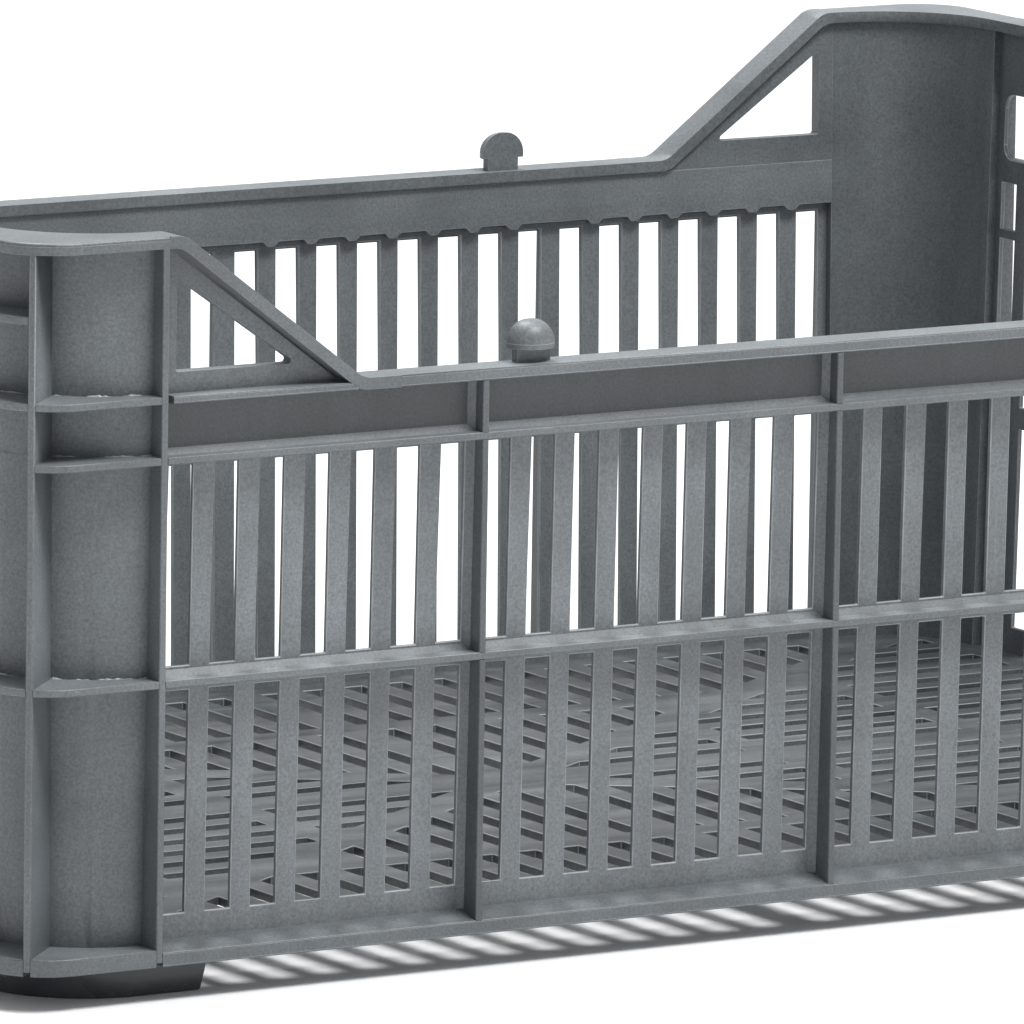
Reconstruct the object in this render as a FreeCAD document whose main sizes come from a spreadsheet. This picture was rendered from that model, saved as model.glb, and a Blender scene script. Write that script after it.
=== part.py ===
import FreeCAD, Part
import math
import os

import Sketcher
from FreeCAD import Placement, Rotation, Vector

# Stacking crate, 600 x 400 footprint, moulded in one piece and divided here into the regions
# that the moulding is made of.  X runs along the long sides, the front is at -Y, and the feet
# stand on Z = 0.  A wall is drawn with its outer plane facing -Y and then turned into place; a
# corner is drawn around its own centre, in the quadrant +X +Y, and then turned into place.

DIMENSIONS = {
    # whole crate
    "crate_length": 600.0,
    "crate_width": 400.0,
    "foot_height": 13.0,          # ground to the walls' lower edge; levels count up from there
    "corner_height": 229.0,       # to the top of a corner
    "rim_height": 180.0,          # to the top of the low rim
    # walls
    "wall_thickness": 1.6,
    "wall_setback": 9.6,          # outer plane to the wall's outer face, at its lower edge
    "draft_degrees": 1.1,         # the walls lean outwards as they rise
    "corner_reach": 51.5,         # outer plane to the centre of a rounded corner
    "outline_radius": 20.0,
    # ribs
    "rib_thickness": 2.4,
    "rib_rounding": 0.5,
    "flange_drop": 1.5,           # the flange hangs this far below the walls
    "flange_lip": 3.0,
    "flange_root": 5.4,
    "corner_lip": 4.0,
    "middle_rib_level": 86.9,
    "upper_rib_level": 157.3,
    "ledge_level": 176.4,
    "grip_rib_level": 203.4,
    "side_upright": 133.0,        # centre to the outer uprights of a long side
    "end_upright": 50.0,          # centre to the uprights of an end
    # rim
    "rim_thickness": 3.8,
    "rim_depth": 12.2,
    "rim_rounding": 1.2,
    "slope_top": 57.0,            # outer corner to the top of the slope
    "slope_foot": 122.0,
    "slope_end": 136.0,
    "slope_rounding": 9.0,
    # slots in the walls
    "slot_pitch": 16.5,
    "slot_width": 9.1,
    "low_row_bottom": 13.2,
    "low_row_top": 84.4,
    "high_row_bottom": 92.2,
    "high_row_top": 158.0,
    "end_row_top": 151.0,
    "vent_bottom": 154.5,
    "vent_top": 171.0,
    "grip_bottom": 179.4,
    "grip_top": 202.6,
    "grip_side_gap": 4.0,
    "grip_rounding": 5.0,
    # raised band inside the top of the long sides
    "band_bottom": 160.6,
    "band_thickness": 3.0,
    "tab_width": 6.3,
    "tab_drop": 1.7,
    # triangular window beside each corner
    "window_side": 57.2,
    "window_point": 101.0,
    "window_bottom": 185.4,
    "window_top": 215.6,
    "window_rounding": 1.0,
    # stacking knobs
    "knob_place": 188.0,          # outer corner to the knob's centre
    "knob_back": 9.4,             # outer plane to the knob's flat back
    "knob_radius": 8.3,
    "knob_skirt": 1.6,            # upright side of the head, under its dome
    "knob_dome": 7.4,
    "knob_neck_width": 12.3,
    "knob_neck_depth": 3.4,
    "knob_neck_height": 4.4,
    # feet
    "foot_inset": 11.0,
    "foot_arm": 23.0,
    "foot_width": 23.0,
    "foot_radius": 38.0,
    "foot_inner_radius": 14.0,
    "foot_taper_degrees": 9.0,
    "foot_rounding": 1.0,
    # floor
    "floor_underside": 1.0,
    "floor_thickness": 3.0,
    "floor_border": 13.0,
    "floor_slot_width": 7.6,
    "spine_half_width": 7.6,
    "saddle_half_width": 9.6,
    "diagonal_half_width": 7.0,
    "cross_band_front": 105.0,
    "cross_band_inner": 107.0,
    "cross_band_outer": 195.0,
    "cross_band_half_width": 6.0,
}

FRONT, RIGHT, REAR, LEFT = 0, 90, 180, 270    # turns that bring a front wall to each side
QUARTER = 90
OVERSIZE = 5.0                    # how far a cutting tool stands past what it cuts
SHORT_EDGE = 1.0                  # an edge shorter than this isn't rounded


class Size:
    """A length that carries both its number and its spreadsheet formula."""

    def __init__(self, value, formula):
        self.value = value
        self.formula = formula

    def combine(self, other, sign, result):
        return Size(result, f"({self.formula} {sign} {other.formula})")

    def __add__(self, other):
        other = sized(other)
        return self.combine(other, "+", self.value + other.value)

    def __sub__(self, other):
        other = sized(other)
        return self.combine(other, "-", self.value - other.value)

    def __mul__(self, other):
        other = sized(other)
        return self.combine(other, "*", self.value * other.value)

    def __truediv__(self, other):
        other = sized(other)
        return self.combine(other, "/", self.value / other.value)

    def __radd__(self, other):
        return sized(other) + self

    def __rsub__(self, other):
        return sized(other) - self

    def __rmul__(self, other):
        return sized(other) * self

    def __neg__(self):
        return sized(0.0) - self


def sized(number):
    """A plain number as a Size; a Size stays as it is."""
    if isinstance(number, Size):
        return number
    return Size(float(number), repr(float(number)))


doc = FreeCAD.newDocument("stacking_crate")
sheet = doc.addObject("Spreadsheet::Sheet", "Dimensions")


def fill_sheet():
    """Write each driving dimension to its own row and give the cell its alias."""
    for row, (alias, number) in enumerate(DIMENSIONS.items(), start=1):
        sheet.set(f"A{row}", alias)
        sheet.set(f"B{row}", str(number))
        sheet.setAlias(f"B{row}", alias)
    doc.recompute()


def dim(alias):
    return Size(DIMENSIONS[alias], f"Dimensions.{alias}")


fill_sheet()

HALF_LENGTH = dim("crate_length") / 2
HALF_WIDTH = dim("crate_width") / 2
BASE = dim("foot_height")                      # the walls' lower edge
TOP = BASE + dim("corner_height")
RIM_TOP = BASE + dim("rim_height")
REACH = dim("corner_reach")
RIB = dim("rib_thickness")
WALL = dim("wall_thickness")
THICK_WALL = WALL + dim("band_thickness")      # corners, and the upper part of the long sides
LEAN = Size(
    math.tan(math.radians(DIMENSIONS["draft_degrees"])),
    "tan(Dimensions.draft_degrees * 1 deg)",
)


def setback(level):
    """Outer plane to the wall's outer face at a height above the walls' lower edge."""
    return dim("wall_setback") - level * LEAN


# ---------------------------------------------------------------- building blocks


def origin_plane(body, role):
    return next(item for item in body.Origin.OriginFeatures if item.Role == role)


def new_body(name):
    return doc.addObject("PartDesign::Body", name)


def outline_sketch(body, role, points, offset=None):
    """A closed outline of straight lines; each corner's place is bound to the sheet."""
    sketch = body.newObject("Sketcher::SketchObject", f"{body.Name}_outline")
    sketch.AttachmentSupport = [(origin_plane(body, role), "")]
    sketch.MapMode = "FlatFace"
    if offset is not None:
        sketch.AttachmentOffset = Placement(Vector(0, 0, offset.value), Rotation())
        sketch.setExpression("AttachmentOffset.Base.z", offset.formula)
    corners = [Vector(across.value, up.value, 0) for across, up in points]
    count = len(corners)
    for index in range(count):
        line = Part.LineSegment(corners[index], corners[(index + 1) % count])
        sketch.addGeometry(line, False)
    for index in range(count):
        joint = Sketcher.Constraint("Coincident", index, 2, (index + 1) % count, 1)
        sketch.addConstraint(joint)
    for index, (across, up) in enumerate(points):
        for kind, size in (("DistanceX", across), ("DistanceY", up)):
            rule = Sketcher.Constraint(kind, -1, 1, index, 1, size.value)
            number = sketch.addConstraint(rule)
            sketch.setExpression(f"Constraints[{number}]", size.formula)
    sketch.Visibility = False
    return sketch


def circle_sketch(body, role, radius, offset):
    """A circle around the body's own origin, in a plane parallel to an origin plane."""
    sketch = body.newObject("Sketcher::SketchObject", f"{body.Name}_circle")
    sketch.AttachmentSupport = [(origin_plane(body, role), "")]
    sketch.MapMode = "FlatFace"
    sketch.AttachmentOffset = Placement(Vector(0, 0, offset.value), Rotation())
    sketch.setExpression("AttachmentOffset.Base.z", offset.formula)
    sketch.addGeometry(Part.Circle(Vector(0, 0, 0), Vector(0, 0, 1), radius.value), False)
    sketch.addConstraint(Sketcher.Constraint("Coincident", 0, 3, -1, 1))
    number = sketch.addConstraint(Sketcher.Constraint("Radius", 0, radius.value))
    sketch.setExpression(f"Constraints[{number}]", radius.formula)
    return sketch


def rectangle(left, right, bottom, top):
    return [(sized(x), sized(y)) for x, y in ((left, bottom), (right, bottom), (right, top), (left, top))]


def pad(body, sketch, length, midplane=False, reverse=False):
    feature = body.newObject("PartDesign::Pad", f"{body.Name}_pad")
    feature.Profile = sketch
    feature.setExpression("Length", length.formula)
    feature.Length = length.value
    if midplane:
        feature.SideType = "Symmetric"
    feature.Reversed = reverse
    body.Tip = feature
    doc.recompute()
    return feature


def pocket(body, sketch):
    """Cut a sketch through the whole body, both ways, and make sure that it cuts."""
    before = body.Shape.Volume
    feature = body.newObject("PartDesign::Pocket", f"{body.Name}_pocket")
    feature.Profile = sketch
    feature.SideType = "Two sides"
    feature.Type = "ThroughAll"
    feature.Type2 = "ThroughAll"
    body.Tip = feature
    doc.recompute()
    if not feature.Shape.Volume < before:
        raise RuntimeError(f"{feature.Name} cuts nothing")
    return feature


def fillet(body, base, radius, chosen):
    """Round the edges of a feature for which chosen(edge) is true."""
    names = [f"Edge{i}" for i, edge in enumerate(base.Shape.Edges, start=1) if chosen(edge)]
    if not names:
        raise RuntimeError(f"{body.Name} has no edge to round")
    feature = body.newObject("PartDesign::Fillet", f"{body.Name}_fillet")
    feature.Base = (base, names)
    feature.setExpression("Radius", radius.formula)
    feature.Radius = radius.value
    body.Tip = feature
    doc.recompute()
    return feature


def repeat(body, feature, axis_role, spacing, count):
    """Repeat a feature along one of the body's origin axes."""
    pattern = body.newObject("PartDesign::LinearPattern", f"{body.Name}_pattern")
    pattern.Originals = [feature]
    axis = next(item for item in body.Origin.OriginFeatures if item.Role == axis_role)
    pattern.Direction = (axis, [""])
    length = spacing * (count - 1)
    pattern.Length = length.value
    pattern.setExpression("Length", length.formula)
    pattern.Occurrences = count
    body.Tip = pattern
    doc.recompute()
    return pattern


def runs_along(edge, direction):
    """True for a straight edge that is parallel to a direction."""
    if not isinstance(edge.Curve, Part.Line):
        return False
    return abs(abs(edge.Curve.Direction.dot(direction)) - 1) < SAME_WAY


def on_plane(edge, axis, number):
    """True if every end of the edge has this coordinate."""
    return all(abs(getattr(end.Point, axis) - number) < SAME_PLACE for end in edge.Vertexes)


ALONG_X = Vector(1, 0, 0)
ALONG_Y = Vector(0, 1, 0)
ALONG_Z = Vector(0, 0, 1)
SAME_PLACE = 1e-4                 # two ends nearer than this are at one place
SAME_WAY = 1e-6

nodes = {}


def node(name, pieces, turn=0):
    """Name one sub-part; several solids that belong together become one group."""
    if len(pieces) == 1 and not turn and pieces[0] not in nodes.values():
        part = pieces[0]
    else:
        part = doc.addObject("Part::Compound", name)
        part.Links = pieces
        part.Placement = Placement(Vector(), Rotation(ALONG_Z, turn))
        doc.recompute()
    part.Label = name
    nodes[name] = part
    return part


def both_sides(front_name, rear_name, pieces):
    """A sub-part of the front or right wall, and its copy on the wall opposite."""
    node(front_name, pieces)
    node(rear_name, pieces, turn=REAR)


# ---------------------------------------------------------------- walls


END_RIB_LEVELS = ("middle_rib_level", "ledge_level", "grip_rib_level")


def tilt(body, reach):
    """Stand a plate, drawn upright on its XZ plane, at the wall's place and lean."""
    place = setback(sized(0.0)) - reach
    body.Placement = Placement(
        Vector(0, place.value, BASE.value), Rotation(ALONG_X, DIMENSIONS["draft_degrees"])
    )
    body.setExpression("Placement.Base.y", place.formula)
    body.setExpression("Placement.Base.z", BASE.formula)
    body.setExpression("Placement.Rotation.Angle", "Dimensions.draft_degrees")


def slot_row(body, left, count, bottom, top):
    """A row of upright slots: the first is cut, and the others repeat it."""
    outline = rectangle(left, left + dim("slot_width"), bottom, top)
    first = pocket(body, outline_sketch(body, "XZ_Plane", outline))
    repeat(body, first, "X_Axis", dim("slot_pitch"), count)


def bay_starts(uprights, span):
    """Left edge of the first slot and the number of slots in each bay between uprights."""
    edges = [-span] + uprights + [span]
    pitch = DIMENSIONS["slot_pitch"]
    bays = []
    for left, right in zip(edges, edges[1:]):
        width = right.value - left.value - DIMENSIONS["rib_thickness"]
        count = int((width - DIMENSIONS["slot_width"]) // pitch) + 1
        run = dim("slot_pitch") * (count - 1) + dim("slot_width")
        bays.append(((left + right - run) / 2, count))
    return bays


def wall_plate(name, reach, outline, thickness):
    """The plain plate of one wall, leaning with its draft, before it is slotted."""
    body = new_body(name)
    pad(body, outline_sketch(body, "XZ_Plane", outline), thickness, reverse=True)
    tilt(body, reach)
    doc.recompute()
    return body


def side_panel(places, span):
    """A long side: two rows of slots between its uprights."""
    height = dim("rim_height") - dim("rim_thickness")
    body = wall_plate("side_panel", HALF_WIDTH, rectangle(-span, span, sized(0.0), height), WALL)
    for left, count in bay_starts(places, span):
        slot_row(body, left, count, dim("low_row_bottom"), dim("low_row_top"))
        slot_row(body, left, count, dim("high_row_bottom"), dim("high_row_top"))
    return body


def side_band(bays, span):
    """The raised band inside the top of a long side, with a rounded tab over each bar."""
    body = new_body("side_band")
    outline = rectangle(-span, span, dim("band_bottom"), dim("rim_height") - dim("rim_thickness"))
    pad(body, outline_sketch(body, "XZ_Plane", outline), dim("band_thickness"), reverse=True)
    bar = dim("slot_pitch") - dim("slot_width")
    for left, count in bays:
        tab_left = left + dim("slot_width") + (bar - dim("tab_width")) / 2
        shoulder = dim("tab_drop")
        tab = [
            (tab_left, dim("band_bottom")),
            (tab_left + shoulder, dim("band_bottom") - shoulder),
            (tab_left + dim("tab_width") - shoulder, dim("band_bottom") - shoulder),
            (tab_left + dim("tab_width"), dim("band_bottom")),
        ]
        tab_sketch = outline_sketch(body, "XZ_Plane", tab)
        first = pad(body, tab_sketch, dim("band_thickness"), reverse=True)
        repeat(body, first, "X_Axis", dim("slot_pitch"), count - 1)
    tilt(body, HALF_WIDTH - WALL)
    doc.recompute()
    return body


def end_panel(places, span):
    """An end wall: two rows of slots, a row of vents and three hand-high openings."""
    height = dim("corner_height") - dim("rim_thickness")
    body = wall_plate("end_panel", HALF_LENGTH, rectangle(-span, span, sized(0.0), height), WALL)
    rows = (
        ("low_row_bottom", "low_row_top"),
        ("high_row_bottom", "end_row_top"),
        ("vent_bottom", "vent_top"),
    )
    for left, count in bay_starts(places, span):
        for bottom, top in rows:
            slot_row(body, left, count, dim(bottom), dim(top))
    grip_openings(body, places, span)
    return body


def grip_openings(body, places, span):
    """The hand-high openings of an end wall, one in each bay."""
    edges = [-span] + places + [span]
    gap = dim("grip_side_gap")
    cut = None
    for left, right in zip(edges, edges[1:]):
        outline = rectangle(left + gap, right - gap, dim("grip_bottom"), dim("grip_top"))
        cut = pocket(body, outline_sketch(body, "XZ_Plane", outline))
    heights = (dim("grip_bottom").value, dim("grip_top").value)
    fillet(
        body, cut, dim("grip_rounding"),
        lambda e: runs_along(e, ALONG_Y) and any(on_plane(e, "z", height) for height in heights),
    )


def long_bar(name, reach, span, profile):
    """A straight rib or rim: a cross-section in the YZ plane, run along X both ways."""
    body = new_body(name)
    points = [(depth - reach, height) for depth, height in profile]
    bar = pad(body, outline_sketch(body, "YZ_Plane", points), span * 2, midplane=True)
    front = -reach.value
    fillet(body, bar, dim("rib_rounding"), lambda e: runs_along(e, ALONG_X) and on_plane(e, "y", front))
    return body


def rib_profile(level):
    """Cross-section of a rib that ends on the leaning wall."""
    low = BASE + level
    return [
        (sized(0.0), low),
        (setback(level), low),
        (setback(level + RIB), low + RIB),
        (sized(0.0), low + RIB),
    ]


def flange_profile():
    """Cross-section of the flange, which hangs a little below the walls."""
    low = BASE - dim("flange_drop")
    return [
        (sized(0.0), low),
        (setback(sized(0.0)), low),
        (setback(sized(0.0)), BASE),
        (setback(dim("flange_root")), BASE + dim("flange_root")),
        (sized(0.0), BASE + dim("flange_lip")),
    ]


def rim_profile(top):
    low = top - dim("rim_thickness")
    return [(sized(0.0), low), (dim("rim_depth"), low), (dim("rim_depth"), top), (sized(0.0), top)]


def upright(name, place, reach, front_low, low, high):
    """One length of an upright rib, between two levels above the walls' lower edge."""
    body = new_body(name)
    points = [
        (-reach, BASE + front_low),
        (setback(low) - reach, BASE + low),
        (setback(high) - reach, BASE + high),
        (-reach, BASE + high),
    ]
    rib = pad(body, outline_sketch(body, "YZ_Plane", points, offset=place), RIB, midplane=True)
    front = -reach.value
    fillet(body, rib, dim("rib_rounding"), lambda e: runs_along(e, ALONG_Z) and on_plane(e, "y", front))
    return body


def uprights(name, places, reach, rib_levels, top):
    """The uprights of a wall, each in lengths that fit between the level ribs."""
    lows = [dim("flange_root")] + [level + RIB for level in rib_levels]
    highs = list(rib_levels) + [top]
    pieces = []
    for column, place in enumerate(places):
        for row, (low, high) in enumerate(zip(lows, highs)):
            front_low = dim("flange_lip") if row == 0 else low
            pieces.append(upright(f"{name}_{column}_{row}", place, reach, front_low, low, high))
    return pieces


# ---------------------------------------------------------------- shoulders beside the corners


def shoulder_rail(name, side):
    """The sloping length of rim between a raised corner and the low rim."""
    body = new_body(name)
    high = TOP
    low = RIM_TOP
    drop = dim("rim_thickness")
    path = [
        (REACH, high),
        (dim("slope_top"), high),
        (dim("slope_foot"), low),
        (dim("slope_end"), low),
        (dim("slope_end"), low - drop),
        (dim("slope_foot") - drop / 3, low - drop),
        (dim("slope_top") - drop / 3, high - drop),
        (REACH, high - drop),
    ]
    points = [((across - HALF_LENGTH) * side, up) for across, up in path]
    sketch = outline_sketch(body, "XZ_Plane", points, offset=HALF_WIDTH - dim("rim_depth"))
    rail = pad(body, sketch, dim("rim_depth"))
    bends = {round(points[i][0].value, 3) for i in (1, 2, 5, 6)}
    rail = fillet(
        body, rail, dim("slope_rounding"),
        lambda e: runs_along(e, ALONG_Y) and round(e.Vertexes[0].Point.x, 3) in bends,
    )
    return body


def shoulder_plate(name, side):
    """The web under the slope, with its triangular window."""
    inner = dim("rim_thickness")
    rise = dim("corner_height") - inner
    foot = dim("rim_height") - inner
    shape = [
        (REACH, foot),
        (dim("slope_foot") - inner / 2, foot),
        (dim("slope_top") - inner, rise),
        (REACH, rise),
    ]
    window = [
        (dim("window_side"), dim("window_bottom")),
        (dim("window_point"), dim("window_bottom")),
        (dim("window_side"), dim("window_top")),
    ]
    outline = [((across - HALF_LENGTH) * side, up) for across, up in shape]
    body = wall_plate(name, HALF_WIDTH, outline, THICK_WALL)
    hole = [((across - HALF_LENGTH) * side, up) for across, up in window]
    cut = pocket(body, outline_sketch(body, "XZ_Plane", hole))
    edges = {round(point[0].value, 3) for point in hole}
    fillet(
        body, cut, dim("window_rounding"),
        lambda e: runs_along(e, ALONG_Y)
        and round(e.Vertexes[0].Point.x, 3) in edges
        and e.Vertexes[0].Point.z > foot.value,
    )
    return body


def shoulder_ledge(name, side):
    """The ledge that carries the rim's line on under the triangular window."""
    body = new_body(name)
    middle = (REACH + dim("slope_foot")) / 2 - HALF_LENGTH
    points = [(depth - HALF_WIDTH, up) for depth, up in rib_profile(dim("ledge_level"))]
    sketch = outline_sketch(body, "YZ_Plane", points, offset=middle * side)
    ledge = pad(body, sketch, dim("slope_foot") - REACH - dim("rim_thickness"), midplane=True)
    front = -HALF_WIDTH.value
    fillet(body, ledge, dim("rib_rounding"), lambda e: runs_along(e, ALONG_X) and on_plane(e, "y", front))
    return body


# ---------------------------------------------------------------- corners


def turn_corner(body, turn):
    """Put a piece that was drawn around a corner's centre at one of the four corners."""
    right = turn in (0, 270)
    rear = turn in (0, 90)
    across = (HALF_LENGTH - REACH) * (1 if right else -1)
    along = (HALF_WIDTH - REACH) * (1 if rear else -1)
    body.Placement = Placement(Vector(across.value, along.value, 0), Rotation(ALONG_Z, turn))
    body.setExpression("Placement.Base.x", across.formula)
    body.setExpression("Placement.Base.y", along.formula)


def post_shell(name):
    """The rounded, leaning wall of a corner: a quarter turn of its section, notched for the floor."""
    body = new_body(name)
    height = dim("corner_height") - dim("rim_thickness")
    floor_top = dim("floor_underside") + dim("floor_thickness")
    low = REACH - setback(sized(0.0))
    high = REACH - setback(height)
    section = [
        (low - WALL, BASE), (low, BASE),
        (high, BASE + height), (high - THICK_WALL, BASE + height),
        (REACH - setback(floor_top) - THICK_WALL, BASE + floor_top), (low - WALL, BASE + floor_top),
    ]
    sketch = outline_sketch(body, "XZ_Plane", section)
    shell = body.newObject("PartDesign::Revolution", f"{name}_turn")
    shell.Profile = sketch
    shell.ReferenceAxis = (sketch, ["V_Axis"])
    shell.Angle = QUARTER
    body.Tip = shell
    doc.recompute()
    return body


def post_fin(name, turn, midplane=False, reverse=False):
    """An upright fin of a corner, from its shell out to the crate's outline."""
    body = new_body(name)
    height = dim("corner_height") - dim("rim_thickness")
    outer = REACH
    if midplane:
        outer = REACH * math.sqrt(2) - dim("outline_radius") * (math.sqrt(2) - 1)
    low = REACH - setback(sized(0.0))
    high = REACH - setback(height)
    points = [(low, BASE), (outer, BASE), (outer, BASE + height), (high, BASE + height)]
    sketch = outline_sketch(body, "XZ_Plane", points)
    fin = pad(body, sketch, RIB, midplane=midplane, reverse=reverse)
    free_edge = outer.value
    fillet(body, fin, dim("rib_rounding"), lambda e: runs_along(e, ALONG_Z) and on_plane(e, "x", free_edge))
    body.Placement = Placement(Vector(), Rotation(ALONG_Z, turn))
    doc.recompute()
    return body


def corner_shelf(name, level, thickness, keep):
    """Half of a level rib that goes round a corner; keep is "x" or "y", or "all"."""
    body = new_body(name)
    low = BASE + level
    start = RIB if keep != "all" else sized(0.0)
    square = rectangle(start, REACH, start, REACH)
    slab = pad(body, outline_sketch(body, "XY_Plane", square, offset=low), thickness)
    reach = REACH.value
    slab = fillet(
        body, slab, dim("outline_radius"),
        lambda e: runs_along(e, ALONG_Z) and on_plane(e, "x", reach) and on_plane(e, "y", reach),
    )
    rounding = dim("rib_rounding") if keep != "all" else dim("rim_rounding")
    top = (low + thickness).value
    slab = fillet(
        body, slab, rounding,
        lambda e: (keep != "all" or on_plane(e, "z", top))
        and not runs_along(e, ALONG_Z)
        and all(max(v.Point.x, v.Point.y) > reach - SAME_PLACE for v in e.Vertexes)
        and (e.Vertexes[0].Point - e.Vertexes[-1].Point).Length > SHORT_EDGE,
    )
    radius = REACH - setback(level)
    if keep == "all":
        radius = REACH - dim("rim_depth")
    pocket(body, circle_sketch(body, "XY_Plane", radius, low))
    if keep != "all":
        gap = RIB / math.sqrt(2)
        far = REACH + OVERSIZE
        wedge = [(sized(-OVERSIZE), gap - OVERSIZE), (far, far + gap), (far, sized(-OVERSIZE))]
        if keep == "x":
            wedge = [(up, across) for across, up in wedge]
        pocket(body, outline_sketch(body, "XY_Plane", wedge, offset=low))
    return body


def rising_edges(feature):
    """The edges of a feature that run from one level to another."""
    return [
        edge for edge in feature.Shape.Edges
        if abs(edge.Vertexes[0].Point.z - edge.Vertexes[-1].Point.z) > SHORT_EDGE
    ]


def foot(name):
    """A foot: an L-shaped block with a large outer corner, narrower at the ground."""
    body = new_body(name)
    outer = REACH - dim("foot_inset")
    inner = outer - dim("foot_width")
    arm = -dim("foot_arm")
    shape = [(arm, outer), (arm, inner), (inner, inner), (inner, arm), (outer, arm), (outer, outer)]
    sketch = outline_sketch(body, "XY_Plane", shape, offset=BASE)
    block = pad(body, sketch, dim("foot_height"), reverse=True)
    block.TaperAngle = -DIMENSIONS["foot_taper_degrees"]
    block.setExpression("TaperAngle", "0 - Dimensions.foot_taper_degrees")
    doc.recompute()
    far_out = max(rising_edges(block), key=lambda e: e.CenterOfMass.x + e.CenterOfMass.y)
    block = fillet(body, block, dim("foot_radius"), lambda e: e.isSame(far_out))
    inside = Vector(inner.value, inner.value, BASE.value / 2)
    near = min(rising_edges(block), key=lambda e: (e.CenterOfMass - inside).Length)
    block = fillet(body, block, dim("foot_inner_radius"), lambda e: e.isSame(near))
    fillet(body, block, dim("foot_rounding"), lambda e: on_plane(e, "z", 0.0))
    return body


# ---------------------------------------------------------------- knobs


def knob(name, side):
    """A stacking knob: half a mushroom head, flat to the inside, on a thin neck."""
    body = new_body(name)
    low = dim("knob_neck_height")
    top = (low + dim("knob_skirt") + dim("knob_dome")).value
    radius = dim("knob_radius")
    disc = circle_sketch(body, "XY_Plane", radius, low)
    head = pad(body, disc, dim("knob_skirt") + dim("knob_dome"))
    fillet(body, head, dim("knob_dome"), lambda e: on_plane(e, "z", top))
    wide = radius + OVERSIZE
    pocket(body, outline_sketch(body, "XY_Plane", rectangle(-wide, wide, 0, wide)))
    half = dim("knob_neck_width") / 2
    pad(body, outline_sketch(body, "XY_Plane", rectangle(-half, half, -dim("knob_neck_depth"), 0)), low)
    place = (dim("knob_place") - HALF_LENGTH) * side
    back = dim("knob_back") - HALF_WIDTH
    body.Placement = Placement(Vector(place.value, back.value, RIM_TOP.value), Rotation())
    for axis, size in (("x", place), ("y", back), ("z", RIM_TOP)):
        body.setExpression(f"Placement.Base.{axis}", size.formula)
    doc.recompute()
    return body


# ---------------------------------------------------------------- floor


FLOOR_LONG = HALF_LENGTH - setback(sized(0.0)) - WALL
FLOOR_DEEP = HALF_WIDTH - setback(sized(0.0)) - WALL
NARROWEST = sized(1.0)            # half width of a row where it starts near the floor's middle


def prism(name, points):
    """A plate of the floor's thickness with a straight-sided outline."""
    body = new_body(name)
    low = BASE + dim("floor_underside")
    pad(body, outline_sketch(body, "XY_Plane", points, offset=low), dim("floor_thickness"))
    return body


def slot_box(name, left, right, low, high):
    """A cutting box for one slot of the floor."""
    box = doc.addObject("Part::Box", name)
    bottom = BASE + dim("floor_underside") - OVERSIZE
    sizes = {
        "Placement.Base.x": left,
        "Placement.Base.y": low,
        "Placement.Base.z": bottom,
        "Length": right - left,
        "Width": high - low,
        "Height": dim("floor_thickness") + 2 * OVERSIZE,
    }
    for target, size in sizes.items():
        box.setExpression(target, size.formula)
    return box


def swapped(points, swap):
    """Points drawn for the front zone, turned to the left zone if swap is true."""
    return [(up, -across) for across, up in points] if swap else points


def floor_slots(tag, first, count, near, far, swap):
    """Cutting boxes for a row of slots on both sides of the zone's middle line."""
    boxes = []
    for column in range(count):
        inner = first + dim("slot_pitch") * column
        outer = inner + dim("floor_slot_width")
        for side, left, right in (("right", inner, outer), ("left", -outer, -inner)):
            corners = swapped([(left, -far), (right, -near)], swap)
            xs, ys = (sorted(numbers, key=lambda size: size.value) for numbers in zip(*corners))
            boxes.append(slot_box(f"{tag}_{column}_{side}", xs[0], xs[1], ys[0], ys[1]))
    field = doc.addObject("Part::Compound", f"{tag}_field")
    field.Links = boxes
    return field


def floor_row(tag, slope, first, near, far, swap):
    """One row of slots, trimmed to stay clear of the two diagonals."""
    steep = math.hypot(slope.value, 1)
    inset = dim("diagonal_half_width") * steep
    near_half = near * slope - inset
    far_half = far * slope - inset
    if near_half.value < NARROWEST.value:
        near_half = NARROWEST
        near = (near_half + inset) / slope
    window = prism(f"{tag}_window", swapped([
        (-near_half, -near), (-far_half, -far), (far_half, -far), (near_half, -near),
    ], swap))
    shortest = dim("floor_slot_width").value * 2 * slope.value
    count = int((far_half.value - shortest - first.value) // DIMENSIONS["slot_pitch"]) + 1
    trimmed = doc.addObject("Part::Common", f"{tag}_row")
    trimmed.Base = floor_slots(tag, first, count, near, far, swap)
    trimmed.Tool = window
    return trimmed


def floor_zone(name, reach, across_reach, first, rows, swap):
    """A quarter of the floor between two diagonals, with its slots in rows.

    reach is the way from the middle of the floor to the wall, and across_reach half the wall's
    length.  The slots point to the wall.  Each row has its start and end on that way.
    """
    plate = prism(f"{name}_plate", swapped([
        (sized(0.0), sized(0.0)), (-across_reach, -reach), (across_reach, -reach),
    ], swap))
    slope = across_reach / reach
    cuts = [
        floor_row(f"{name}_{number}", slope, first, near, far, swap)
        for number, (near, far) in enumerate(rows)
    ]
    slots = doc.addObject("Part::Compound", f"{name}_slots")
    slots.Links = cuts
    shaped = doc.addObject("Part::Common", f"{name}_shaped")
    shaped.Base = plate
    shaped.Tool = floor_outline(f"{name}_outline")
    zone = doc.addObject("Part::Cut", name)
    zone.Base = shaped
    zone.Tool = slots
    doc.recompute()
    return zone


def floor_outline(name):
    """The whole floor's rounded outline."""
    body = prism(name, rectangle(-FLOOR_LONG, FLOOR_LONG, -FLOOR_DEEP, FLOOR_DEEP))
    radius = REACH - setback(sized(0.0)) - WALL
    fillet(body, body.Tip, radius, lambda e: runs_along(e, ALONG_Z))
    return body


# ---------------------------------------------------------------- assembly


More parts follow.
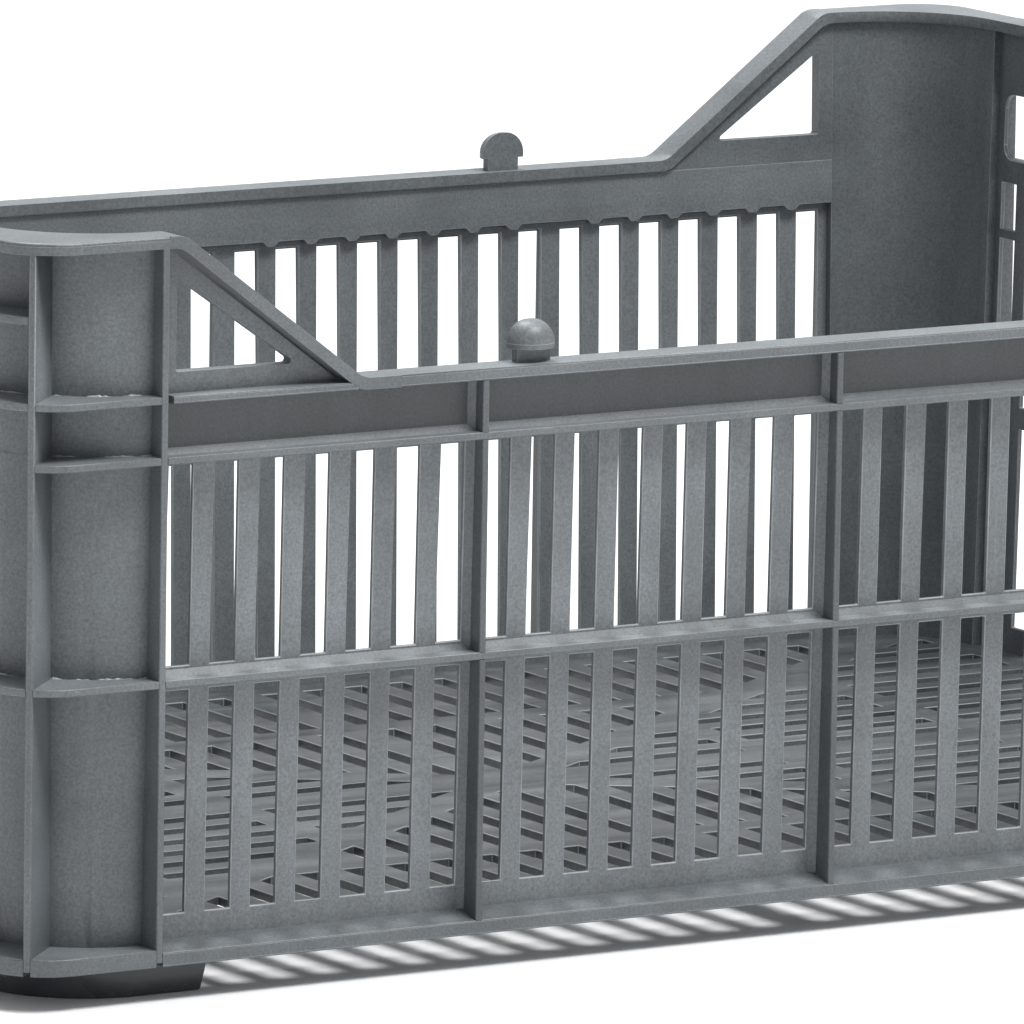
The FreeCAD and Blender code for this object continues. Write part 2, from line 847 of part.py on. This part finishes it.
def build_long_sides():
    span = HALF_LENGTH - REACH
    places = [-dim("side_upright"), sized(0.0), dim("side_upright")]
    low_span = HALF_LENGTH - dim("slope_end")
    rib_levels = (dim("middle_rib_level"), dim("upper_rib_level"))
    both_sides("front_side_panel", "rear_side_panel", [side_panel(places, span)])
    both_sides("front_inner_band", "rear_inner_band", [side_band(bay_starts(places, span), span)])
    rim = long_bar("side_rim", HALF_WIDTH, low_span, rim_profile(RIM_TOP))
    both_sides("front_rim", "rear_rim", [rim])
    flange = long_bar("side_flange", HALF_WIDTH, span, flange_profile())
    both_sides("front_flange", "rear_flange", [flange])
    for part, level in zip(("middle_rib", "upper_rib"), rib_levels):
        rib = long_bar(f"side_{part}", HALF_WIDTH, span, rib_profile(level))
        both_sides(f"front_{part}", f"rear_{part}", [rib])
    top = dim("rim_height") - dim("rim_thickness")
    columns = uprights("side_upright", places, HALF_WIDTH, rib_levels, top)
    both_sides("front_uprights", "rear_uprights", columns)
    knobs = [knob("knob_left", 1), knob("knob_right", -1)]
    both_sides("front_stacking_knobs", "rear_stacking_knobs", knobs)
    for side, front_name, rear_name in ((1, "front_left", "rear_right"), (-1, "front_right", "rear_left")):
        pieces = [
            shoulder_rail(f"{front_name}_slope", side),
            shoulder_plate(f"{front_name}_web", side),
            shoulder_ledge(f"{front_name}_ledge", side),
        ]
        both_sides(f"{front_name}_shoulder", f"{rear_name}_shoulder", pieces)


def build_ends():
    span = HALF_WIDTH - REACH
    places = [-dim("end_upright"), dim("end_upright")]
    panel = end_panel(places, span)
    rim = long_bar("end_rim", HALF_LENGTH, span, rim_profile(TOP))
    flange = long_bar("end_flange", HALF_LENGTH, span, flange_profile())
    ribs = [
        long_bar(f"end_{alias}", HALF_LENGTH, span, rib_profile(dim(alias)))
        for alias in END_RIB_LEVELS
    ]
    top = dim("corner_height") - dim("rim_thickness")
    levels = [dim(alias) for alias in END_RIB_LEVELS]
    groups = {
        "end_panel": [panel],
        "end_rim": [rim],
        "end_flange": [flange],
        "end_ribs": ribs,
        "end_uprights": uprights("end_upright", places, HALF_LENGTH, levels, top),
    }
    for name, pieces in groups.items():
        node(f"right_{name}", pieces, turn=RIGHT)
        node(f"left_{name}", pieces, turn=LEFT)


def build_corners():
    """Four corners from one set of pieces; only the half ribs differ between neighbours."""
    shell = post_shell("post_shell")
    fins = [
        post_fin("diagonal_fin", QUARTER / 2, midplane=True),
        post_fin("fin_beside_x", 0, reverse=True),
        post_fin("fin_beside_y", QUARTER),
    ]
    cap = corner_shelf("cap", dim("corner_height") - dim("rim_thickness"), dim("rim_thickness"), "all")
    block = foot("foot_block")
    shared = []
    for level, thickness in (
        (-dim("flange_drop"), dim("flange_drop") + dim("corner_lip")),
        (dim("middle_rib_level"), RIB),
        (dim("ledge_level"), RIB),
    ):
        for keep in ("x", "y"):
            shared.append(corner_shelf(f"shelf_{len(shared)}", level, thickness, keep))
    own = {
        "y": [corner_shelf("upper_y", dim("upper_rib_level"), RIB, "y"),
              corner_shelf("grip_x", dim("grip_rib_level"), RIB, "x")],
        "x": [corner_shelf("upper_x", dim("upper_rib_level"), RIB, "x"),
              corner_shelf("grip_y", dim("grip_rib_level"), RIB, "y")],
    }
    corners = (
        ("rear_right", 0, "y"), ("rear_left", 90, "x"),
        ("front_left", 180, "y"), ("front_right", 270, "x"),
    )
    for name, turn, long_side in corners:
        groups = {
            "post": [shell],
            "post_fins": fins,
            "post_ribs": shared + own[long_side],
            "cap": [cap],
            "foot": [block],
        }
        for part, pieces in groups.items():
            group = doc.addObject("Part::Compound", f"{name}_{part}")
            group.Links = pieces
            turn_corner(group, turn)
            group.Label = f"{name}_{part}"
            nodes[f"{name}_{part}"] = group
    doc.recompute()


def build_floor():
    band = dim("cross_band_half_width")
    deep_edge = FLOOR_DEEP - dim("floor_border")
    long_edge = FLOOR_LONG - dim("floor_border")
    hub = sized(0.0)
    front_rows = ((hub, dim("cross_band_front") - band), (dim("cross_band_front") + band, deep_edge))
    side_rows = (
        (hub, dim("cross_band_inner") - band),
        (dim("cross_band_inner") + band, dim("cross_band_outer") - band),
        (dim("cross_band_outer") + band, long_edge),
    )
    front = floor_zone("floor_front", FLOOR_DEEP, FLOOR_LONG, dim("spine_half_width"), front_rows, False)
    both_sides("front_floor_grid", "rear_floor_grid", [front])
    left = floor_zone("floor_left", FLOOR_LONG, FLOOR_DEEP, dim("saddle_half_width"), side_rows, True)
    both_sides("left_floor_grid", "right_floor_grid", [left])


def check_document():
    """Stop if any object failed, or if any sub-part is missing or broken."""
    for item in doc.Objects:
        if "Invalid" in item.State or "Error" in item.State:
            raise RuntimeError(f"{item.Name} failed: {item.State}")
    for name, part in nodes.items():
        if part.Shape.isNull() or not part.Shape.isValid() or not part.Shape.Solids:
            raise RuntimeError(f"{name} has no valid shape")


def export_parts():
    os.makedirs("parts", exist_ok=True)
    for name, part in nodes.items():
        part.Shape.exportStep(f"parts/{name}.step")
        solids = part.Shape.Solids
        volume = sum(solid.Volume for solid in solids)
        print(f"{name:28s} {len(solids):3d} solids {volume / 1000:8.1f} cm3")


build_long_sides()
build_ends()
build_corners()
build_floor()
doc.recompute()
check_document()
export_parts()
print(len(nodes), "nodes")
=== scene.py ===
"""Looks of the stacking crate: camera, light, plastic, eased edges, rib roots and flash."""

import math
import random

import bmesh
import bpy
from mathutils import Matrix, Vector
from mathutils.bvhtree import BVHTree


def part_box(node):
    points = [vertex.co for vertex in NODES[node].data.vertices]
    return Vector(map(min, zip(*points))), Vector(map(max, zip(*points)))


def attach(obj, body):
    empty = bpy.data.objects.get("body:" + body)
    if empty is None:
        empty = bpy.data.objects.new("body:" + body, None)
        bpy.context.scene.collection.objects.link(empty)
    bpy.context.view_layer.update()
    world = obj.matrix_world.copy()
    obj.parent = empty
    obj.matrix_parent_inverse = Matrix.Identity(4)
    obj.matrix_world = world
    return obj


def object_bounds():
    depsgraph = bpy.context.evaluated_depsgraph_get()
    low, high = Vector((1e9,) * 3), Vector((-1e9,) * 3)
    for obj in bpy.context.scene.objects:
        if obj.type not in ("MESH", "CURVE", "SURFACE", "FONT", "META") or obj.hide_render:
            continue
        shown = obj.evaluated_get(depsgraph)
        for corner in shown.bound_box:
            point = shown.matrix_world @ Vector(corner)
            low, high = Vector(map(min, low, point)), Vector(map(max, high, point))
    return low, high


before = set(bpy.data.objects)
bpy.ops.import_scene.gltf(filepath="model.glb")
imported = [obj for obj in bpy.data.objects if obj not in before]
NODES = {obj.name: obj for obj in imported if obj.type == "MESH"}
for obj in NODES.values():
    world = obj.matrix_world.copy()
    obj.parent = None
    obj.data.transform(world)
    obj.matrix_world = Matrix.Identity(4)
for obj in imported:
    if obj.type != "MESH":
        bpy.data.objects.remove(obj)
CAD_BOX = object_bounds()
LOW = CAD_BOX[0]
MM = 0.001

# The camera stands far off the front left corner and looks slightly down, with a long lens.
VIEW_TURN = math.radians(31.655)
VIEW_DROP = math.radians(9.324)
VIEW_ROLL = math.radians(0.862)
VIEW_DISTANCE = 3.994
VIEW_LENS_MM = 444.7
SENSOR_MM = 36.0
AIM = LOW + Vector((0.177, 0.0, 0.1465))

# The key light, seen from the crate, and its size in the sky.
KEY_STRENGTH = 2.3
KEY_SPREAD = math.radians(26)
KEY_HEIGHT = math.radians(67)
KEY_TURN = math.radians(6)

# Plastic colours, linear.
WALL_GREY = (0.100, 0.112, 0.120)
PANEL_GREY = (0.124, 0.138, 0.147)
# The uprights' darker grey is painted shade, for the shade on their left faces.
UPRIGHT_PAINTED_SHADE_GREY = (0.074, 0.083, 0.089)
RAIL_GREY = (0.104, 0.116, 0.123)
FLOOR_GREY = (0.082, 0.090, 0.094)
# The feet's dark grey is painted shade: they stand in shadow under the flange.
FOOT_PAINTED_SHADE_GREY = (0.038, 0.042, 0.045)
# The paler grey is wear on the random scuffs, and wear with a painted highlight on the eased edges.
WEAR_AND_HIGHLIGHT_GREY = (0.255, 0.275, 0.285)
FLASH_GREY = (0.32, 0.34, 0.35)


# ---------------------------------------------------------------- camera and studio


def add_camera():
    forward = Vector((
        math.sin(VIEW_TURN) * math.cos(VIEW_DROP),
        math.cos(VIEW_TURN) * math.cos(VIEW_DROP),
        -math.sin(VIEW_DROP),
    ))
    level = forward.cross(Vector((0, 0, 1))).normalized()
    upright = level.cross(forward)
    right = level * math.cos(VIEW_ROLL) + upright * math.sin(VIEW_ROLL)
    up = upright * math.cos(VIEW_ROLL) - level * math.sin(VIEW_ROLL)
    turn = Matrix((right, up, -forward)).transposed().to_4x4()
    data = bpy.data.cameras.new("photo_view")
    data.lens = VIEW_LENS_MM
    data.sensor_width = SENSOR_MM
    data.clip_end = 50
    camera = bpy.data.objects.new("photo_view", data)
    camera.matrix_world = Matrix.Translation(AIM - forward * VIEW_DISTANCE) @ turn
    bpy.context.scene.collection.objects.link(camera)
    bpy.context.scene.camera = camera


def add_softbox(name, place, target, size, power):
    data = bpy.data.lights.new(name, "AREA")
    data.shape = "RECTANGLE"
    data.size, data.size_y = size
    data.energy = power
    light = bpy.data.objects.new(name, data)
    light.location = place
    light.rotation_euler = (Vector(target) - Vector(place)).to_track_quat("-Z", "Y").to_euler()
    bpy.context.scene.collection.objects.link(light)


def add_world(strength):
    world = bpy.data.worlds.new("white_studio")
    world.use_nodes = True
    background = world.node_tree.nodes["Background"]
    background.inputs["Color"].default_value = (1, 1, 1, 1)
    background.inputs["Strength"].default_value = strength
    bpy.context.scene.world = world


def add_floor():
    half = 6.0
    mesh = bpy.data.meshes.new("studio_floor")
    ring = ((-half, -half), (half, -half), (half, half), (-half, half))
    corners = [(x, y, LOW.z) for x, y in ring]
    mesh.from_pydata(corners, [], [(0, 1, 2, 3)])
    floor = bpy.data.objects.new("studio_floor", mesh)
    bpy.context.scene.collection.objects.link(floor)
    paper = bpy.data.materials.new("studio_paper")
    paper.use_nodes = True
    shader = paper.node_tree.nodes["Principled BSDF"]
    shader.inputs["Base Color"].default_value = (0.86, 0.86, 0.87, 1)
    shader.inputs["Roughness"].default_value = 0.7
    mesh.materials.append(paper)


def add_key_light():
    """A lamp high behind the crate lights the rims and throws the slots' shadow forwards."""
    data = bpy.data.lights.new("key_light", "SUN")
    data.energy = KEY_STRENGTH
    data.angle = KEY_SPREAD
    light = bpy.data.objects.new("key_light", data)
    level = math.cos(KEY_HEIGHT)
    towards = Vector((
        math.sin(KEY_TURN) * level, math.cos(KEY_TURN) * level, math.sin(KEY_HEIGHT),
    ))
    light.rotation_euler = towards.to_track_quat("Z", "Y").to_euler()
    bpy.context.scene.collection.objects.link(light)


def light_studio():
    add_world(0.50)
    add_key_light()
    add_softbox("front_softbox", (0.5, -1.25, 2.7), (0, 0, 0.1), (1.5, 0.8), 96)
    bpy.context.scene.view_settings.view_transform = "Standard"


# ---------------------------------------------------------------- materials


class Plastic:
    """A node material for moulded polypropylene: mottled colour, flow streaks, grain and scuffs."""

    def __init__(self, name, grey):
        self.material = bpy.data.materials.new(name)
        self.material.use_nodes = True
        self.tree = self.material.node_tree
        self.shader = self.tree.nodes["Principled BSDF"]
        self.shader.inputs["IOR"].default_value = 1.5
        self.coords = self.tree.nodes.new("ShaderNodeTexCoord").outputs["Object"]
        self.grey = grey
        self.value = None

    def link(self, source, target):
        self.tree.links.new(source, target)

    def noise(self, scale, detail=2.0, stretch=(1, 1, 1), turn=(0, 0, 0), rough=0.5):
        mapping = self.tree.nodes.new("ShaderNodeMapping")
        mapping.inputs["Scale"].default_value = stretch
        mapping.inputs["Rotation"].default_value = turn
        self.link(self.coords, mapping.inputs["Vector"])
        node = self.tree.nodes.new("ShaderNodeTexNoise")
        node.inputs["Scale"].default_value = scale
        node.inputs["Detail"].default_value = detail
        node.inputs["Roughness"].default_value = rough
        self.link(mapping.outputs["Vector"], node.inputs["Vector"])
        return node.outputs["Fac"]

    def part_of(self, output, axis):
        """One axis of the object's own coordinates or normals."""
        coords = self.tree.nodes.new("ShaderNodeTexCoord")
        parts = self.tree.nodes.new("ShaderNodeSeparateXYZ")
        self.link(coords.outputs[output], parts.inputs["Vector"])
        return parts.outputs[axis]

    def spread(self, source, low, high, start=0.3, stop=0.7):
        """Maps a noise from start..stop to low..high, clamped."""
        node = self.tree.nodes.new("ShaderNodeMapRange")
        node.inputs["From Min"].default_value = start
        node.inputs["From Max"].default_value = stop
        node.inputs["To Min"].default_value = low
        node.inputs["To Max"].default_value = high
        self.link(source, node.inputs["Value"])
        return node.outputs["Result"]

    def math(self, operation, first, second):
        node = self.tree.nodes.new("ShaderNodeMath")
        node.operation = operation
        for socket, given in zip(node.inputs, (first, second)):
            if isinstance(given, (int, float)):
                socket.default_value = given
            else:
                self.link(given, socket)
        return node.outputs["Value"]

    def shade(self, factor):
        """Multiplies the brightness by one more factor."""
        self.value = factor if self.value is None else self.math("MULTIPLY", self.value, factor)

    def finish_colour(self, scuffs=None):
        """Grey times the brightness, with paler scuffs laid over it."""
        scale = self.tree.nodes.new("ShaderNodeVectorMath")
        scale.operation = "SCALE"
        scale.inputs[0].default_value = self.grey
        self.link(self.value, scale.inputs["Scale"])
        colour = scale.outputs["Vector"]
        if scuffs is not None:
            mix = self.tree.nodes.new("ShaderNodeMix")
            mix.data_type = "RGBA"
            mix.inputs["B"].default_value = (*WEAR_AND_HIGHLIGHT_GREY, 1)
            self.link(scuffs, mix.inputs["Factor"])
            self.link(colour, mix.inputs["A"])
            colour = mix.outputs["Result"]
        self.link(colour, self.shader.inputs["Base Color"])

    def bump(self, height, distance, strength=1.0, under=None):
        node = self.tree.nodes.new("ShaderNodeBump")
        node.inputs["Distance"].default_value = distance
        node.inputs["Strength"].default_value = strength
        self.link(height, node.inputs["Height"])
        if under is not None:
            self.link(under, node.inputs["Normal"])
        return node.outputs["Normal"]


def moulded_plastic(
    name, grey, streak, streak_turn=(0, 0, 0), streak_depth=0.14, gloss=0.42, scuff=0.35,
    tops_rubbed_and_painted_lit=1.0, rim_shade_above=None,
):
    """Satin polypropylene.

    streak stretches the flow marks, so that they run the way the melt ran.  The tops factor
    brightens
    what faces up: wear where crates rub in a stack, and painted light on the tops.  Above the
    height given for the rim shade the face is darker: painted shade under the rim's overhang.
    """
    made = Plastic(name, grey)
    grain = made.noise(1100, 3.0, rough=0.7)
    mottle = made.noise(22, 5.0, rough=0.6)
    flow = made.noise(60, 4.0, streak, streak_turn, 0.6)
    rub = made.noise(34, 6.0, (1, 1, 1), (0.4, 0.2, 0.9), 0.75)
    made.shade(made.spread(mottle, 0.80, 1.20))
    made.shade(made.spread(flow, 1 - streak_depth, 1 + streak_depth))
    made.shade(made.spread(grain, 0.70, 1.30))
    # Painted light with wear: faces that look up are made paler, as if lit from above and rubbed in
    # a stack.
    if tops_rubbed_and_painted_lit != 1.0:
        made.shade(made.spread(made.part_of("Normal", "Z"), 1.0, tops_rubbed_and_painted_lit, 0.6, 0.95))
    if rim_shade_above is not None:
        # Painted shade: above this height, under the rim's overhang, the face is darkened.
        height = made.part_of("Object", "Z")
        made.shade(made.spread(height, 1.0, 0.40, rim_shade_above, rim_shade_above + 0.5 * MM))
    made.finish_colour(made.spread(rub, 0.0, scuff, 0.66, 0.84))
    broad = made.spread(mottle, gloss - 0.05, gloss + 0.06)
    satin = made.math("ADD", broad, made.spread(flow, -0.03, 0.04))
    made.link(satin, made.shader.inputs["Roughness"])
    waves = made.bump(flow, 0.00025)
    made.link(made.bump(grain, 0.00004, 1.0, waves), made.shader.inputs["Normal"])
    return made.material


def pale_patchy_plastic(name, grey):
    """Paler plastic, with patches where the rubbing is stronger.  On the eased edges the paleness
    is wear and a painted highlight along every edge.
    """
    made = Plastic(name, grey)
    patches = made.noise(55, 4.0, rough=0.65)
    grain = made.noise(1800, 2.0)
    made.shade(made.spread(patches, 0.62, 1.12))
    made.shade(made.spread(grain, 0.92, 1.08))
    made.finish_colour()
    made.link(made.spread(patches, 0.48, 0.34), made.shader.inputs["Roughness"])
    made.link(made.bump(grain, 0.00004), made.shader.inputs["Normal"])
    return made.material


def foot_in_painted_shade(name):
    """The feet are darker and glossier, with scratches along the floor; the darkness is painted
    shade under the flange.
    """
    made = Plastic(name, FOOT_PAINTED_SHADE_GREY)
    patches = made.noise(40, 4.0)
    scratches = made.noise(500, 3.0, (0.15, 0.15, 3.0), rough=0.7)
    grain = made.noise(1500, 2.0)
    made.shade(made.spread(patches, 0.8, 1.25))
    made.shade(made.spread(grain, 0.92, 1.08))
    made.finish_colour(made.spread(scratches, 0.0, 0.10, 0.62, 0.8))
    made.link(made.spread(patches, 0.20, 0.34), made.shader.inputs["Roughness"])
    made.link(made.bump(scratches, 0.00004), made.shader.inputs["Normal"])
    return made.material


# ---------------------------------------------------------------- the moulding's surface

CONTACT = 0.02 * MM
EDGE_RADIUS = 0.35 * MM


def trees_of(nodes):
    """A search tree and a box for each CAD node."""
    found = {}
    for name, node in nodes.items():
        mesh = node.data
        points = [v.co for v in mesh.vertices]
        faces = [tuple(p.vertices) for p in mesh.polygons]
        found[name] = (BVHTree.FromPolygons(points, faces), *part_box(name))
    return found


def touches(point, name, trees):
    """True if the point lies on the surface of any other node."""
    for other, (tree, low, high) in trees.items():
        if other == name:
            continue
        if all(low[i] - CONTACT <= point[i] <= high[i] + CONTACT for i in range(3)):
            if tree.find_nearest(point, CONTACT)[0] is not None:
                return True
    return False


def sharp_edges(mesh):
    """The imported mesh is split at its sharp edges, so they are the edges of one face only."""
    uses = [0] * len(mesh.edges)
    for loop in mesh.loops:
        uses[loop.edge_index] += 1
    return [edge for edge in mesh.edges if uses[edge.index] == 1]


def ease_edges(name, trees, radius):
    """Rounds a node's free sharp edges; one on a neighbour's face stays, so no joint shows."""
    node = NODES[name]
    mesh = node.data
    weights = mesh.attributes.new("bevel_weight_edge", "FLOAT", "EDGE")
    for edge in sharp_edges(mesh):
        first, second = (mesh.vertices[index].co for index in edge.vertices)
        middle = (first + second) / 2
        if not touches(middle, name, trees):
            weights.data[edge.index].value = 1.0
    weld = node.modifiers.new("join_faces", "WELD")
    weld.merge_threshold = 0.002 * MM
    flat = node.modifiers.new("one_face_per_flat", "DECIMATE")
    flat.decimate_type = "DISSOLVE"
    flat.angle_limit = math.radians(0.2)
    flat.delimit = {"MATERIAL"}
    bevel = node.modifiers.new("eased_edges", "BEVEL")
    bevel.limit_method = "WEIGHT"
    bevel.width = radius
    bevel.segments = 2
    # The eased edges take the second, paler material: wear and a painted highlight along the edge.
    bevel.material = 1
    bevel.harden_normals = True


def dress(name, plastic, edge):
    """Gives a CAD node its plastic, and the paler material for its eased edges: wear with a painted
    highlight.
    """
    slots = NODES[name].data.materials
    slots.clear()
    slots.append(plastic)
    slots.append(edge)


def finish_nodes():
    upright_flow = (1.0, 1.0, 0.05)
    along_flow = (0.06, 0.06, 1.0)
    wall = moulded_plastic("wall_plastic", WALL_GREY, upright_flow)
    # The rails' upward faces are paler: painted light on the tops, together with rubbing wear.
    rail = moulded_plastic("rail_plastic_painted_lit_tops", RAIL_GREY, along_flow, scuff=0.5, tops_rubbed_and_painted_lit=1.55)
    # The uprights' plastic is darker than the wall's: painted shade on their left faces.
    upright = moulded_plastic("upright_plastic_painted_shade", UPRIGHT_PAINTED_SHADE_GREY, upright_flow, scuff=0.6)
    band = moulded_plastic("band_plastic", PANEL_GREY, along_flow)
    # The side panels carry painted shade above the upper rib, under the rim's overhang.
    band_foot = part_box("front_upper_rib")[1].z
    panel = moulded_plastic("panel_plastic_painted_rim_shade", PANEL_GREY, upright_flow, rim_shade_above=band_foot)
    floor = moulded_plastic(
        "floor_plastic", FLOOR_GREY, (0.07, 1.0, 1.0), (0, 0, math.radians(24)), 0.55, 0.34, 0.9
    )
    foot = foot_in_painted_shade("foot_plastic_painted_shade")
    # The eased edges' material: rubbing wear and a painted highlight along every edge.
    edge_wear_and_highlight = pale_patchy_plastic("pale_patchy_plastic", WEAR_AND_HIGHLIGHT_GREY)
    for name in NODES:
        if name.endswith("foot"):
            dress(name, foot, foot)
        elif name.endswith("floor_grid"):
            dress(name, floor, edge_wear_and_highlight)
        elif name.endswith("side_panel"):
            dress(name, panel, edge_wear_and_highlight)
        elif name.endswith("inner_band"):
            dress(name, band, edge_wear_and_highlight)
        elif name.endswith("uprights"):
            dress(name, upright, edge_wear_and_highlight)
        elif name.endswith(("rim", "cap", "shoulder", "rib", "ribs", "knobs")):
            dress(name, rail, edge_wear_and_highlight)
        else:
            dress(name, wall, edge_wear_and_highlight)
    trees = trees_of(NODES)
    for name in NODES:
        ease_edges(name, trees, EDGE_RADIUS)


# ---------------------------------------------------------------- rib roots and moulding flash

DRAFT = math.tan(math.radians(1.1))
ROOT = 2.0 * MM
LEDGE_LEVEL = 176.4 * MM
SHELF = 2.4 * MM
SUNK = 0.1 * MM                   # flash starts this far inside the post and the rib
FLASH_STEP = 0.022
CORNER_TURNS = (
    ("front_left", math.pi), ("front_right", math.pi * 1.5),
    ("rear_left", math.pi * 0.5), ("rear_right", 0.0),
)


class Strips:
    """A mesh of many thin three-cornered strips, which rides on the crate."""

    def __init__(self):
        self.shape = bmesh.new()

    def add(self, sections, turn=0.0):
        """Joins a row of three-cornered sections, and turns the strip to its wall."""
        spin = Matrix.Rotation(turn, 3, "Z")
        rings = [[self.shape.verts.new(spin @ Vector(p)) for p in section] for section in sections]
        self.shape.faces.new(rings[0])
        self.shape.faces.new(reversed(rings[-1]))
        for near, far in zip(rings, rings[1:]):
            for i in range(3):
                j = (i + 1) % 3
                self.shape.faces.new((near[i], far[i], far[j], near[j]))

    def finish(self, name, plastic):
        bmesh.ops.recalc_face_normals(self.shape, faces=self.shape.faces)
        mesh = bpy.data.meshes.new(name)
        self.shape.to_mesh(mesh)
        self.shape.free()
        mesh.materials.append(plastic)
        piece = bpy.data.objects.new(name, mesh)
        bpy.context.scene.collection.objects.link(piece)
        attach(piece, "root")


def upright_roots(strips, face, rib_sides, spans, turn):
    """Sloping feet on both sides of each upright; face(z) is the wall's distance out."""
    for across, way in rib_sides:
        for low, high in spans:
            strips.add([
                (
                    (across, -face(z), z),
                    (across + way * ROOT, -face(z), z),
                    (across, -face(z) - ROOT, z),
                )
                for z in (low, high)
            ], turn)


def level_root(strips, face, half, level, turn):
    """A sloping foot on top of a level rib, over the wall's whole length."""
    strips.add([
        (
            (x, -face(level), level),
            (x, -face(level) - ROOT, level),
            (x, -face(level + ROOT), level + ROOT),
        )
        for x in (-half, half)
    ], turn)


def sides_of(places, half_rib):
    return [(place + way * half_rib, way) for place in places for way in (-1, 1)]


def add_rib_roots(plastic):
    strips = Strips()
    low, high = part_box("front_side_panel")
    middle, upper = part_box("front_middle_rib"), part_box("front_upper_rib")
    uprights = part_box("front_uprights")
    half_rib = (middle[1].z - middle[0].z) / 2
    flange_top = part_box("front_flange")[1].z
    rim_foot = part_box("front_rim")[0].z
    spans = ((flange_top, middle[0].z), (middle[1].z, upper[0].z), (upper[1].z, rim_foot))
    places = (uprights[0].x + half_rib, 0.0, uprights[1].x - half_rib)
    long_face = face_of(-low.y, high.z)
    for turn in (0.0, math.pi):
        upright_roots(strips, long_face, sides_of(places, half_rib), spans, turn)
        for level in (middle[1].z, upper[1].z):
            level_root(strips, long_face, high.x, level, turn)
    low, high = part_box("left_end_panel")
    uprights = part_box("left_end_uprights")
    spans = ((flange_top, middle[0].z), (middle[1].z, low.z + LEDGE_LEVEL))
    places = (uprights[0].y + half_rib, uprights[1].y - half_rib)
    end_face = face_of(-low.x, high.z)
    for turn in (math.pi / 2, -math.pi / 2):
        upright_roots(strips, end_face, sides_of(places, half_rib), spans, turn)
        level_root(strips, end_face, high.y, middle[1].z, turn)
    strips.finish("rib_roots", plastic)


def face_of(out_at_top, top):
    """The distance out of a leaning wall's outer face, as a function of height."""
    return lambda z: out_at_top - (top - z) * DRAFT


def sliver(chance, centre, radius, level, angle):
    """One sliver of flash, thickest in its middle; gives its sections and where it ends."""
    steps = chance.randint(4, 14)
    sections = []
    for step in range(steps):
        swell = math.sin(math.pi * (step + 0.5) / steps)
        size = chance.uniform(0.1, 0.7) * MM * swell
        out = Vector((math.cos(angle), math.sin(angle), 0))
        foot = centre + out * (radius - SUNK) + Vector((0, 0, level - SUNK))
        sections.append((
            foot, foot + out * (size + 0.2 * MM), foot + Vector((0, 0, size + 0.15 * MM)),
        ))
        angle += FLASH_STEP
    return sections, angle


def add_flash(plastic):
    """Ragged slivers of flash where the level ribs of the corners meet the posts."""
    chance = random.Random(11)
    strips = Strips()
    rib_tops = [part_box(f"front_{rib}")[1].z for rib in ("middle_rib", "upper_rib")]
    for corner, start in CORNER_TURNS:
        low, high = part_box(f"{corner}_post")
        left, front = corner.endswith("left"), corner.startswith("front")
        centre = Vector((high.x if left else low.x, high.y if front else low.y, 0))
        radius = face_of(high.x - low.x, high.z)
        for level in rib_tops + [low.z + LEDGE_LEVEL + SHELF]:
            angle = start + 0.05
            while angle < start + math.pi / 2 - 0.1:
                sections, angle = sliver(chance, centre, radius(level), level, angle)
                strips.add(sections)
                angle += chance.uniform(0.01, 0.12)
    strips.finish("moulding_flash", plastic)


# ---------------------------------------------------------------- build

add_camera()
add_floor()
light_studio()
finish_nodes()
add_rib_roots(moulded_plastic("root_plastic", WALL_GREY, (1.0, 1.0, 0.05)))
add_flash(pale_patchy_plastic("flash_plastic", FLASH_GREY))
